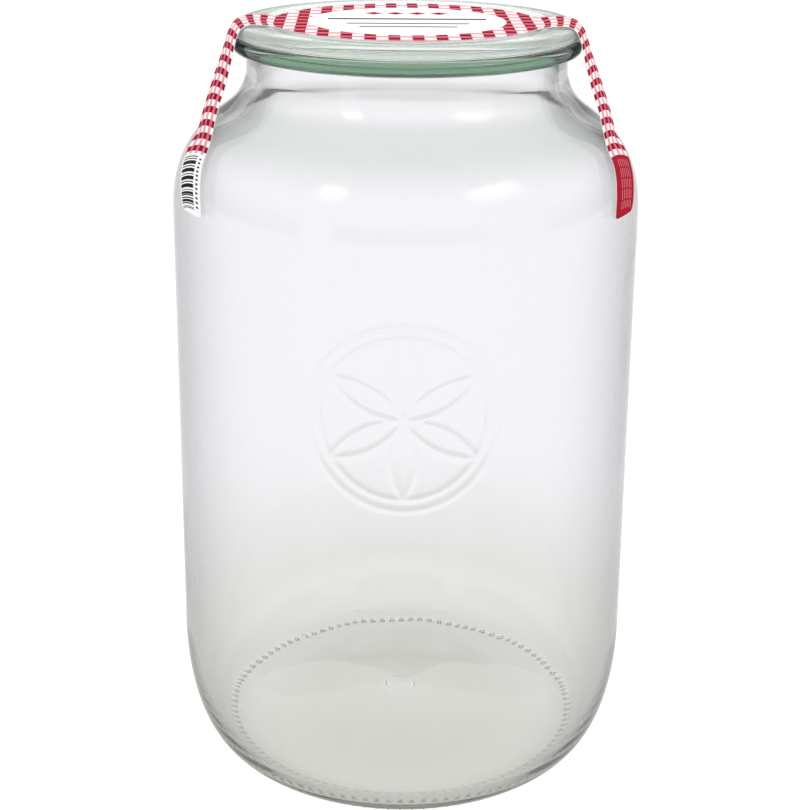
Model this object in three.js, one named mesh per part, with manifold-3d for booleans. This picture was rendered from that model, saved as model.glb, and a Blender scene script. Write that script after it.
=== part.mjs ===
// A preserving jar of clear glass, with its loose glass lid and the paper label that is stuck over both.
// Millimetres, Z up. The jar's axis is Z, it stands on its bearing ring at Z = 0, and its front faces -Y.
import * as THREE from 'three';
import { mergeVertices } from 'three/addons/utils/BufferGeometryUtils.js';
import Module from 'manifold-3d';

const wasm = await Module();
wasm.setup();

// Jar, outside
const JAR_HEIGHT = 241.6;
const BODY_TOP_RADIUS = 74.9;
const BODY_FOOT_RADIUS = 75.7;
const HEEL_REACH = 14.6;
const HEEL_HEIGHT = 39.5;
const BEARING_INNER_RADIUS = 55.5;
const PUSH_UP = 3;
const SHOULDER_START = 190.5;
const SHOULDER_ROUND = 33;
const NECK_RADIUS = 50.6;
const NECK_FILLET = 12.6;
const RIM_RADIUS = 55;
const RIM_THICKNESS = 4.4;
const RIM_ROUND = 1.7;

// Jar, inside
const NECK_WALL = 4;
const FOOT_WALL = 3.5;
const FLOOR_EDGE = 4.4;
const FLOOR_MIDDLE = 6.4;
const INNER_HEEL_REACH = 12.6;
const INNER_HEEL_HEIGHT = 36.5;

// Lid, with heights measured from the top of the jar's rim
const SEAT_GAP = 0.3;
const LID_RADIUS = 54.5;
const LID_THICKNESS = 4.4;
const LID_TOP_ROUND = 3;
const LID_FOOT_ROUND = 1.3;
const LABEL_RECESS_RADIUS = 44.6;
const LABEL_RECESS_DEPTH = 0.9;
const LID_RIDGE_RADIUS = 45.2;
const LID_RIDGE_WIDTH = 2.8;
const LID_RIDGE_DEPTH = 3;
const LID_RIDGE_SLOPE = 0.5;
const LID_PLUG_DEPTH = 0.8;

// Label
const PAPER = 0.35;
const PAPER_GAP = 0.3;
const LABEL_RADIUS = 42.2;
const LABEL_TURN = 1.4;
const ARM_CORNER = 1.4;
const ARM_TILT = 0.1;
const ARM_TILT_FADE = 10;

// Fineness
const ROUND_STEPS = 64;
const WIDE_ARC_STEPS = 7;
const SMALL_ARC_STEPS = 3;
const DOME_STEPS = 4;
const ARM_STEPS = 30;
const ARM_STEPS_ACROSS = 4;
const MERGE_DISTANCE = 1e-4;

const LID_SEAT = JAR_HEIGHT + SEAT_GAP;
const LID_TOP = LID_SEAT + LID_THICKNESS;
const LABEL_FLOOR = LID_TOP - LABEL_RECESS_DEPTH + PAPER_GAP;
const SHOULDER_CENTRE = BODY_TOP_RADIUS - SHOULDER_ROUND;
const NECK_FILLET_CENTRE = NECK_RADIUS + NECK_FILLET;
const SHOULDER_TURN = Math.acos((NECK_FILLET_CENTRE - SHOULDER_CENTRE) / (SHOULDER_ROUND + NECK_FILLET));
const NECK_START = SHOULDER_START + (SHOULDER_ROUND + NECK_FILLET) * Math.sin(SHOULDER_TURN);

const point = (radius, height) => new THREE.Vector2(radius, height);

// The points of an elliptical arc about (radius, height), from one angle to another, both ends included.
function arc(radius, height, reach, rise, from, to, steps) {
  return Array.from({ length: steps + 1 }, (_, i) => {
    const angle = from + ((to - from) * i) / steps;
    return point(radius + reach * Math.cos(angle), height + rise * Math.sin(angle));
  });
}

// A quarter turn of a round edge: the rounding's centre, its radius, and the two angles in quarter turns.
function roundedEdge(radius, height, round, fromQuarter, toQuarter) {
  const quarter = Math.PI / 2;
  return arc(radius, height, round, round, fromQuarter * quarter, toQuarter * quarter, SMALL_ARC_STEPS);
}

// A solid of revolution about Z.
function turned(profile) {
  return new THREE.LatheGeometry(profile, ROUND_STEPS).rotateX(Math.PI / 2);
}

// The jar's outer radius on its body and on the convex part of its shoulder.
function bodyRadius(height) {
  if (height <= SHOULDER_START) {
    const share = (height - HEEL_HEIGHT) / (SHOULDER_START - HEEL_HEIGHT);
    return THREE.MathUtils.lerp(BODY_FOOT_RADIUS, BODY_TOP_RADIUS, share);
  }
  const rise = Math.min(height - SHOULDER_START, SHOULDER_ROUND);
  return SHOULDER_CENTRE + Math.sqrt(SHOULDER_ROUND ** 2 - rise ** 2);
}

// The pushed-up underside, from the axis to the bearing ring.
function domeProfile() {
  return Array.from({ length: DOME_STEPS + 1 }, (_, i) => {
    const share = i / DOME_STEPS;
    return point(BEARING_INNER_RADIUS * share, PUSH_UP * (1 - share ** 2));
  });
}

// The outside, from the bearing ring up over heel, body, shoulder and neck to the top of the rim.
function outerProfile() {
  const rimFoot = JAR_HEIGHT - RIM_THICKNESS;
  const rimEdge = RIM_RADIUS - RIM_ROUND;
  return [
    ...arc(
      BODY_FOOT_RADIUS - HEEL_REACH, HEEL_HEIGHT, HEEL_REACH, HEEL_HEIGHT,
      -Math.PI / 2, 0, WIDE_ARC_STEPS,
    ),
    ...arc(
      SHOULDER_CENTRE, SHOULDER_START, SHOULDER_ROUND, SHOULDER_ROUND,
      0, SHOULDER_TURN, WIDE_ARC_STEPS,
    ),
    ...arc(
      NECK_FILLET_CENTRE, NECK_START, NECK_FILLET, NECK_FILLET,
      Math.PI + SHOULDER_TURN, Math.PI, WIDE_ARC_STEPS,
    ).slice(1),
    point(NECK_RADIUS, rimFoot),
    ...roundedEdge(rimEdge, rimFoot + RIM_ROUND, RIM_ROUND, -1, 0),
    ...roundedEdge(rimEdge, JAR_HEIGHT - RIM_ROUND, RIM_ROUND, 0, 1),
  ];
}

// The inside, from the top of the rim down the neck and the body to the middle of the floor.
function innerProfile() {
  const mouth = NECK_RADIUS - NECK_WALL;
  const innerRound = SHOULDER_ROUND - NECK_WALL;
  const innerFillet = NECK_FILLET + NECK_WALL;
  const heelCentre = BODY_FOOT_RADIUS - FOOT_WALL - INNER_HEEL_REACH;
  return [
    ...roundedEdge(mouth + RIM_ROUND, JAR_HEIGHT - RIM_ROUND, RIM_ROUND, 1, 2),
    ...arc(
      NECK_FILLET_CENTRE, NECK_START, innerFillet, innerFillet,
      Math.PI, Math.PI + SHOULDER_TURN, WIDE_ARC_STEPS,
    ),
    ...arc(
      SHOULDER_CENTRE, SHOULDER_START, innerRound, innerRound,
      SHOULDER_TURN, 0, WIDE_ARC_STEPS,
    ).slice(1),
    ...arc(
      heelCentre, FLOOR_EDGE + INNER_HEEL_HEIGHT, INNER_HEEL_REACH, INNER_HEEL_HEIGHT,
      0, -Math.PI / 2, WIDE_ARC_STEPS,
    ),
    point(0, FLOOR_MIDDLE),
  ];
}

function jarGeometry() {
  return turned([...domeProfile(), ...outerProfile(), ...innerProfile()]);
}

// The lid: a thick disc with a shallow recess on top for the label, and a ridge below that centres it in
// the mouth.
function lidGeometry() {
  const ridgeFoot = LID_SEAT - LID_RIDGE_DEPTH;
  const ridgeInner = LID_RIDGE_RADIUS - LID_RIDGE_WIDTH;
  const recessFloor = LID_TOP - LABEL_RECESS_DEPTH;
  const topEdge = LID_RADIUS - LID_TOP_ROUND;
  return turned([
    point(0, LID_SEAT - LID_PLUG_DEPTH),
    point(ridgeInner - LID_RIDGE_SLOPE, LID_SEAT - LID_PLUG_DEPTH),
    point(ridgeInner, ridgeFoot),
    point(LID_RIDGE_RADIUS - LID_RIDGE_SLOPE, ridgeFoot),
    point(LID_RIDGE_RADIUS, LID_SEAT),
    ...roundedEdge(LID_RADIUS - LID_FOOT_ROUND, LID_SEAT + LID_FOOT_ROUND, LID_FOOT_ROUND, -1, 0),
    ...roundedEdge(topEdge, LID_TOP - LID_TOP_ROUND, LID_TOP_ROUND, 0, 1),
    point(LABEL_RECESS_RADIUS + LABEL_RECESS_DEPTH, LID_TOP),
    point(LABEL_RECESS_RADIUS, recessFloor),
    point(0, recessFloor),
  ]);
}

// Where an arm of the label runs: its turn from the front in degrees, its radius, its height and its width.
// It leaves the disc, bends over the lid's edge, hangs free past the neck and lies on the shoulder.
function armStations() {
  const overLid = LID_TOP + PAPER_GAP;
  const onJar = (height) => bodyRadius(height) + PAPER_GAP;
  return [
    { turn: 85, radius: 33, height: LABEL_FLOOR, width: 28 },
    { turn: 84.5, radius: 42, height: LABEL_FLOOR, width: 26.3 },
    { turn: 83, radius: 47, height: overLid, width: 24.5 },
    { turn: 81.3, radius: 52, height: overLid, width: 21 },
    { turn: 79.1, radius: 55.2, height: LID_TOP - 2.2, width: 19.3 },
    { turn: 76.3, radius: 57.8, height: JAR_HEIGHT - 4.6, width: 18.5 },
    { turn: 73.8, radius: 60.6, height: 230, width: 18.5 },
    { turn: 71.8, radius: 64.3, height: 221, width: 18.5 },
    { turn: 70.7, radius: onJar(212), height: 212, width: 18.5 },
    { turn: 67.4, radius: onJar(206), height: 206, width: 18 },
    { turn: 63.6, radius: onJar(199.5), height: 199.5, width: 16.2 },
    { turn: 60.5, radius: onJar(193), height: 193, width: 14 },
  ];
}

// How far an arm's front edge stands above its rear edge at a height on its route, for each millimetre
// of width.
function armTilt(height, tip) {
  const aboveTip = THREE.MathUtils.smoothstep(height, tip, tip + ARM_TILT_FADE);
  const belowNeck = 1 - THREE.MathUtils.smoothstep(height, NECK_START - ARM_TILT_FADE, NECK_START);
  return ARM_TILT * aboveTip * belowNeck;
}

// How much an arm narrows at each side near its tip, for rounded corners.
function cornerInset(fromTip) {
  const within = Math.min(fromTip, ARM_CORNER);
  return ARM_CORNER - Math.sqrt(ARM_CORNER ** 2 - (ARM_CORNER - within) ** 2);
}

// A point of an arm. Along runs from 0 at the disc to 1 at the tip, across from -0.5 to 0.5 towards the
// front, and lift is the height above the arm's underside.
function armPoint(route, widths, side, along, across, lift) {
  const { x: turn, y: radius, z: height } = route.getPoint(along);
  const slope = route.getTangent(along);
  const inPlane = Math.hypot(slope.y, slope.z);
  const tip = route.points.at(-1).z;
  const offset = across * (widths.getPoint(along).x - 2 * cornerInset(height - tip));
  const tiltedHeight = height + offset * armTilt(height, tip);
  const clear = tiltedHeight < NECK_START ? bodyRadius(tiltedHeight) + PAPER_GAP : 0;
  const reach = Math.max(radius, clear) - (slope.z / inPlane) * lift;
  const angle = turn - offset / radius;
  return new THREE.Vector3(
    side * reach * Math.sin(angle),
    -reach * Math.cos(angle),
    tiltedHeight + (slope.y / inPlane) * lift,
  );
}

// One arm: a flat bar of paper with its vertices carried along the route.
function armGeometry(side) {
  const { degToRad } = THREE.MathUtils;
  const stations = armStations();
  const route = new THREE.CatmullRomCurve3(
    stations.map(({ turn, radius, height }) => new THREE.Vector3(degToRad(turn), radius, height)),
  );
  const widths = new THREE.CatmullRomCurve3(stations.map(({ width }) => new THREE.Vector3(width, 0, 0)));
  const geometry = new THREE.BoxGeometry(1, 1, PAPER, ARM_STEPS_ACROSS, ARM_STEPS, 1);
  const position = geometry.getAttribute('position');
  for (let i = 0; i < position.count; i += 1) {
    const across = side * position.getX(i);
    const along = position.getY(i) + 0.5;
    const lift = position.getZ(i) + PAPER / 2;
    const placed = armPoint(route, widths, side, along, across, lift);
    position.setXYZ(i, placed.x, placed.y, placed.z);
  }
  return geometry;
}

// A closed geometry as a solid that can be joined to another.
function solidOf(geometry) {
  const bare = geometry.clone();
  bare.deleteAttribute('normal');
  bare.deleteAttribute('uv');
  const merged = mergeVertices(bare, MERGE_DISTANCE);
  return new wasm.Manifold(new wasm.Mesh({
    numProp: 3,
    vertProperties: new Float32Array(merged.getAttribute('position').array),
    triVerts: new Uint32Array(merged.index.array),
  }));
}

function geometryOf(solid) {
  const { vertProperties, triVerts } = solid.getMesh();
  const geometry = new THREE.BufferGeometry();
  geometry.setAttribute('position', new THREE.BufferAttribute(vertProperties, 3));
  geometry.setIndex(new THREE.BufferAttribute(triVerts, 1));
  geometry.computeVertexNormals();
  return geometry;
}

// The label: a disc that lies in the lid's recess and an arm down each side of the jar, cut from one paper.
function labelGeometry() {
  const disc = new THREE.CylinderGeometry(LABEL_RADIUS, LABEL_RADIUS, PAPER, ROUND_STEPS)
    .rotateX(Math.PI / 2)
    .translate(0, 0, LABEL_FLOOR + PAPER / 2);
  return geometryOf(solidOf(disc).add(solidOf(armGeometry(1))).add(solidOf(armGeometry(-1))));
}

function piece(name, geometry, material) {
  const mesh = new THREE.Mesh(geometry, new THREE.MeshStandardMaterial({ metalness: 0, ...material }));
  mesh.name = name;
  return mesh;
}

const clearGlass = { color: 0xdde8e1, roughness: 0.03, transparent: true, opacity: 0.35 };
const thickGlass = { color: 0xd0e2d6, roughness: 0.03, transparent: true, opacity: 0.45 };
const printedPaper = { color: 0xd98a94, roughness: 0.6 };

const preservingJar = new THREE.Group();
const label = piece('label', labelGeometry(), printedPaper);
label.rotation.z = THREE.MathUtils.degToRad(LABEL_TURN);
preservingJar.add(piece('jar', jarGeometry(), clearGlass), piece('lid', lidGeometry(), thickGlass), label);

export default preservingJar;
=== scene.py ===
"""A preserving jar of clear glass, its loose glass lid, and the printed paper label stuck over both.

Sizes are in millimetres unless a name says otherwise, and meshes are in metres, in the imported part's
frame: Z is the jar's axis, it stands on Z = 0, and its front faces -Y.
"""

import logging
import math
from dataclasses import dataclass
from enum import Enum

import bpy
import numpy as np
from mathutils import Matrix, Vector


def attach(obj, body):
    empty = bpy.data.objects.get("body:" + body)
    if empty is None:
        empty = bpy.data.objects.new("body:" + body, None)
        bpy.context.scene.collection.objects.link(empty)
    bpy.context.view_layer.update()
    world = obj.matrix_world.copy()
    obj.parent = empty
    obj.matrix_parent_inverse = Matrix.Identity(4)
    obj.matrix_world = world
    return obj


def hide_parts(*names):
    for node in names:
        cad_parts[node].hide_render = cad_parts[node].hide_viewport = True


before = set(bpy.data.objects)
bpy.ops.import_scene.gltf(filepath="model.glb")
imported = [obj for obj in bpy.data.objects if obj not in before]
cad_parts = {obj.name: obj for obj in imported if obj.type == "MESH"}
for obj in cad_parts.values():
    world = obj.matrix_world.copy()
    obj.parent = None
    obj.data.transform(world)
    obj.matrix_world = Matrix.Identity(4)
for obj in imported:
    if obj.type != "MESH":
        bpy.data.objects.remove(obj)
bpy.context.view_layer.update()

MM = 0.001
BODY = "root"
MERGE_DISTANCE = 0.004 * MM
SMOOTH_ANGLE = math.radians(42)
LEAST_WEIGHT = 0.002
LID_GAP = 0.3
RIB_COUNT = 104
FLAT = (1.0, 1.0, 0.0)
CLEAR = (0.99, 1.0, 0.993)

Point = tuple[float, float]
Place = tuple[float, float, float]
Colour = tuple[float, float, float]
Stripes = tuple[float, float, float]
Station = tuple[float, float, float, float]
Piece = bpy.types.Object
Material = bpy.types.Material
Socket = bpy.types.NodeSocket

log = logging.getLogger("preserving_jar")


class Side(Enum):
    """A side of the jar, seen from its front."""

    LEFT = -1
    RIGHT = 1


class Sheet(Enum):
    """The two faces of the label's paper, in the order of its material slots."""

    PRINTED = 0
    BARE = 1


def arc(centre: Point, reach: Point, start: float, end: float, steps: int) -> list[Point]:
    """Points of an elliptical arc.

    Args:
        centre: Radius and height of the arc's centre.
        reach: The ellipse's half width and half height.
        start: Angle of the first point in degrees, from 0 outwards to 90 upwards.
        end: Angle of the last point in degrees.
        steps: Number of spans between them.

    Returns:
        The points, both ends included, as radius and height.
    """
    angles = np.radians(np.linspace(start, end, steps + 1))
    return [(centre[0] + reach[0] * math.cos(a), centre[1] + reach[1] * math.sin(a)) for a in angles]


def bend(centre: Point, radius: float, start: float, end: float, steps: int) -> list[Point]:
    """Points of a circular arc, told as for an elliptical one."""
    return arc(centre, (radius, radius), start, end, steps)


def line(start: Point, end: Point, steps: int) -> list[Point]:
    """Points of a straight run.

    Args:
        start: First point, left out of the result.
        end: Last point, included.
        steps: Number of spans.

    Returns:
        The points after the start, as radius and height.
    """
    shares = np.linspace(0, 1, steps + 1)[1:]
    return [(start[0] + (end[0] - start[0]) * s, start[1] + (end[1] - start[1]) * s) for s in shares]


def smoothstep(values: np.ndarray, low: float, high: float) -> np.ndarray:
    """A smooth rise from 0 at low to 1 at high."""
    share = np.clip((values - low) / (high - low), 0, 1)
    return share * share * (3 - 2 * share)


def soften(points: list[Point], spacing: float, reach: float, tails: int = 3) -> list[Point]:
    """Evens out the bends of a run, so that its curvature changes gently.

    Args:
        points: The run, as radius and height.
        spacing: Distance between the points of the result.
        reach: How far along the run a bend is spread.
        tails: Length of the spreading curve's tails, in reaches.

    Returns:
        The softened run, with the same ends.
    """
    run = np.array(points)
    length = np.r_[0, np.cumsum(np.linalg.norm(np.diff(run, axis=0), axis=1))]
    count = int(length[-1] / spacing) + 1
    even = np.linspace(0, length[-1], count)
    run = np.c_[np.interp(even, length, run[:, 0]), np.interp(even, length, run[:, 1])]
    pad = int(tails * reach / spacing)
    before = 2 * run[0] - run[pad:0:-1]
    after = 2 * run[-1] - run[-2 : -pad - 2 : -1]
    weights = np.exp(-0.5 * (np.arange(-pad, pad + 1) * spacing / reach) ** 2)
    padded = np.vstack([before, run, after])
    columns = [np.convolve(column, weights / weights.sum(), "valid") for column in padded.T]
    return [(float(radius), float(height)) for radius, height in zip(*columns)]


def around(turn: float, radius: float, height: float) -> Vector:
    """A place round the jar, in metres.

    Args:
        turn: Degrees from the front, growing towards the right.
        radius: Distance from the axis.
        height: Height above the ground.

    Returns:
        The place in the part's frame.
    """
    angle = math.radians(turn)
    return Vector((radius * math.sin(angle), -radius * math.cos(angle), height)) * MM


class Bench:
    """Hand tools for meshes: each works on the active object through Blender's operators."""

    @staticmethod
    def clear() -> None:
        """Leaves edit mode and deselects every object."""
        if bpy.context.object and bpy.context.object.mode != "OBJECT":
            bpy.ops.object.mode_set(mode="OBJECT")
        bpy.ops.object.select_all(action="DESELECT")

    @staticmethod
    def activate(piece: Piece) -> None:
        """Selects one object alone and makes it the active one.

        Args:
            piece: The object.
        """
        Bench.clear()
        piece.select_set(True)
        bpy.context.view_layer.objects.active = piece

    @staticmethod
    def take(name: str) -> Piece:
        """Names the object that was just added.

        Args:
            name: Its new name.

        Returns:
            The object.
        """
        piece = bpy.context.object
        piece.name = piece.data.name = name
        return piece

    @staticmethod
    def edit() -> None:
        """Enters edit mode with everything selected."""
        bpy.ops.object.mode_set(mode="EDIT")
        bpy.ops.mesh.select_all(action="SELECT")

    @staticmethod
    def turn_profile(
        name: str, profile: list[Point], sectors: list[tuple[float, int]], start: float
    ) -> Piece:
        """Draws half of a section and spins it round Z into a closed shell.

        Args:
            name: Name of the new object.
            profile: Radius and height of each point, from the axis back to the axis.
            sectors: Degrees and number of steps of each stretch of the full turn, in order.
            start: Where the first stretch begins, in degrees from the front.

        Returns:
            The shell, with merged seams and outward faces.
        """
        Bench.clear()
        bpy.ops.mesh.primitive_plane_add(size=MM)
        shell = Bench.take(name)
        Bench.edit()
        bpy.ops.mesh.merge(type="CENTER")
        places = [around(start, radius, height) for radius, height in profile]
        bpy.ops.transform.translate(value=places[0])
        for before, after in zip(places, places[1:]):
            bpy.ops.mesh.extrude_region_move(TRANSFORM_OT_translate={"value": after - before})
        bpy.ops.mesh.select_all(action="SELECT")
        for degrees, steps in sectors:
            # A negative angle turns from the front towards the right.
            bpy.ops.mesh.spin(steps=steps, angle=-math.radians(degrees), center=(0, 0, 0), axis=(0, 0, 1))
        Bench.close()
        return shell

    @staticmethod
    def close() -> None:
        """Merges doubles, points the faces outwards and leaves edit mode."""
        bpy.ops.mesh.select_all(action="SELECT")
        bpy.ops.mesh.remove_doubles(threshold=MERGE_DISTANCE)
        bpy.ops.mesh.normals_make_consistent(inside=False)
        bpy.ops.object.mode_set(mode="OBJECT")

    @staticmethod
    def smooth(piece: Piece) -> None:
        """Shades a piece smooth, with its sharper edges kept."""
        Bench.activate(piece)
        bpy.ops.object.shade_smooth_by_angle(angle=SMOOTH_ANGLE)

    @staticmethod
    def places(piece: Piece) -> np.ndarray:
        """The vertices of a piece, in millimetres.

        Args:
            piece: The mesh.

        Returns:
            A row for each vertex.
        """
        flat = np.empty(len(piece.data.vertices) * 3, dtype=np.float32)
        piece.data.vertices.foreach_get("co", flat)
        return flat.reshape(-1, 3).astype(float) / MM

    @staticmethod
    def polar(piece: Piece) -> tuple[np.ndarray, np.ndarray, np.ndarray]:
        """Each vertex's distance from the axis, turn from the front in radians, and height."""
        across, deep, height = Bench.places(piece).T
        return np.hypot(across, deep), np.arctan2(across, -deep), height

    @staticmethod
    def raise_by(piece: Piece, name: str, weights: np.ndarray, height: float) -> None:
        """Lifts vertices along their normals by weight, with a Displace modifier that is applied.

        Args:
            piece: The mesh to shape.
            name: Name of the vertex group and the modifier.
            weights: A weight from 0 to 1 for each vertex.
            height: Lift at weight 1.
        """
        Bench.activate(piece)
        group = piece.vertex_groups.new(name=name)
        for index in np.nonzero(weights > LEAST_WEIGHT)[0]:
            group.add([int(index)], float(weights[index]), "REPLACE")
        relief = piece.modifiers.new(name, "DISPLACE")
        relief.vertex_group = name
        relief.mid_level = 0.0
        relief.strength = height * MM
        bpy.ops.object.modifier_apply(modifier=name)
        piece.vertex_groups.remove(piece.vertex_groups[name])

    @staticmethod
    def join(pieces: list[Piece]) -> Piece:
        """Joins meshes into the first of them.

        Args:
            pieces: The meshes.

        Returns:
            The joined mesh.
        """
        Bench.activate(pieces[0])
        for piece in pieces:
            piece.select_set(True)
        bpy.ops.object.join()
        return pieces[0]

    @staticmethod
    def fuse(piece: Piece, tool: Piece) -> None:
        """Unites a closed mesh with another one, which is then removed.

        Args:
            piece: The mesh to add to.
            tool: The mesh that is added.
        """
        Bench.activate(piece)
        union = piece.modifiers.new("union", "BOOLEAN")
        union.operation = "UNION"
        union.solver = "MANIFOLD"
        union.object = tool
        bpy.ops.object.modifier_apply(modifier="union")
        bpy.data.objects.remove(tool, do_unlink=True)


class NodePen:
    """Writes shader arithmetic into a node tree, one node for each call."""

    def __init__(self, tree: bpy.types.NodeTree) -> None:
        """Starts on a tree."""
        self.tree = tree

    @staticmethod
    def start(name: str) -> tuple[Material, "NodePen"]:
        """Starts a new material with nodes.

        Args:
            name: The material's name.

        Returns:
            The material, and a pen on its nodes.
        """
        made = bpy.data.materials.new(name)
        made.use_nodes = True
        return made, NodePen(made.node_tree)

    def node(self, kind: str) -> bpy.types.Node:
        """Adds a node of a kind."""
        return self.tree.nodes.new(kind)

    def place(self) -> Socket:
        """The place on the object, or the direction in a world."""
        return self.node("ShaderNodeTexCoord").outputs["Object"]

    def surface(self, shader: Socket) -> None:
        """Makes a shader the material's surface."""
        self.link(shader, self.tree.nodes["Material Output"].inputs["Surface"])

    def link(self, source: Socket, target: Socket) -> None:
        """Joins two sockets."""
        self.tree.links.new(source, target)

    def feed(self, target: Socket, value: object) -> None:
        """Gives a socket a number, a colour or another socket's result.

        Args:
            target: The socket to fill.
            value: The number, the colour or the other socket.
        """
        if isinstance(value, Socket):
            self.link(value, target)
        else:
            target.default_value = value

    def coat(self, values: dict[str, object]) -> None:
        """Sets inputs of the material's own shader.

        Args:
            values: Values or sockets, by the names of the inputs.
        """
        shader = self.tree.nodes["Principled BSDF"]
        for name, value in values.items():
            self.feed(shader.inputs[name], value)

    def split(self, vector: Socket) -> bpy.types.bpy_prop_collection:
        """Splits a vector.

        Args:
            vector: The vector's socket.

        Returns:
            The outputs X, Y and Z.
        """
        made = self.node("ShaderNodeSeparateXYZ")
        self.link(vector, made.inputs["Vector"])
        return made.outputs

    def math(self, operation: str, *values: object) -> Socket:
        """Adds one Math node.

        Args:
            operation: What the node does.
            values: Its inputs, one to three numbers or sockets.

        Returns:
            The result's socket.
        """
        made = self.node("ShaderNodeMath")
        made.operation = operation
        for target, value in zip(made.inputs, values):
            self.feed(target, value)
        return made.outputs[0]

    def vector(self, operation: str, *values: object) -> Socket:
        """Adds one Vector Math node.

        Args:
            operation: What the node does.
            values: Its inputs, one or two vectors or sockets.

        Returns:
            The result's socket.
        """
        made = self.node("ShaderNodeVectorMath")
        made.operation = operation
        for target, value in zip(made.inputs, values):
            self.feed(target, value)
        return next(result for result in made.outputs if result.enabled)

    def mix(self, share: object, under: object, over: object) -> Socket:
        """Blends two colours.

        Args:
            share: From 0, all under, to 1, all over.
            under: The colour underneath.
            over: The colour on top.

        Returns:
            The blend's socket.
        """
        made = self.node("ShaderNodeMix")
        made.data_type = "RGBA"
        self.feed(made.inputs["Factor"], share)
        self.feed(made.inputs["A"], rgba(under))
        self.feed(made.inputs["B"], rgba(over))
        return made.outputs["Result"]

    def stripe(self, along: object, period: float, share: float, start: float = 0.0) -> Socket:
        """1 on stripes that repeat along a value, and 0 between them.

        Args:
            along: The value that the stripes cross.
            period: Distance from one stripe to the next.
            share: Width of a stripe, as a share of the period.
            start: Where a stripe begins.

        Returns:
            The stripes' socket.
        """
        shifted = self.math("SUBTRACT", along, start)
        return self.math("LESS_THAN", self.math("FRACT", self.math("DIVIDE", shifted, period)), share)

    def band(self, value: object, middle: float, half: float) -> Socket:
        """1 where a value is within half of a middle, and 0 elsewhere."""
        return self.math("LESS_THAN", self.math("ABSOLUTE", self.math("SUBTRACT", value, middle)), half)

    def both(self, one: object, other: object) -> Socket:
        """1 where two masks overlap."""
        return self.math("MULTIPLY", one, other)

    def outside(self, mask: object) -> Socket:
        """1 where a mask is 0, and 0 where it is 1."""
        return self.math("SUBTRACT", 1.0, mask)

    def ramp(self, value: object, low: float, high: float) -> Socket:
        """A smooth rise between two values.

        Args:
            value: What the rise follows.
            low: Where it is 0.
            high: Where it is 1.

        Returns:
            The rise's socket.
        """
        made = self.node("ShaderNodeMapRange")
        made.interpolation_type = "SMOOTHSTEP"
        self.feed(made.inputs["Value"], value)
        made.inputs["From Min"].default_value = low
        made.inputs["From Max"].default_value = high
        return made.outputs["Result"]

    def noise(self, place: object, scale: float) -> Socket:
        """Soft noise.

        Args:
            place: Where the noise is read.
            scale: How fine it is.

        Returns:
            The noise's socket.
        """
        made = self.node("ShaderNodeTexNoise")
        made.inputs["Scale"].default_value = scale
        made.inputs["Detail"].default_value = 1.0
        self.feed(made.inputs["Vector"], place)
        return made.outputs["Fac"]

    def bump(self, height: object, strength: float, distance: float) -> Socket:
        """A bumped normal.

        Args:
            height: The height that bumps it, from 0 to 1.
            strength: How strong the bumps are, up to 1.
            distance: How high they are in millimetres.

        Returns:
            The normal's socket.
        """
        made = self.node("ShaderNodeBump")
        made.inputs["Strength"].default_value = strength
        made.inputs["Distance"].default_value = distance * MM
        self.feed(made.inputs["Height"], height)
        return made.outputs["Normal"]


def rgba(value: object) -> object:
    """A colour of three numbers as one of four, and anything else as it is."""
    return (*value, 1.0) if isinstance(value, tuple) and len(value) == 3 else value


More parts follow.
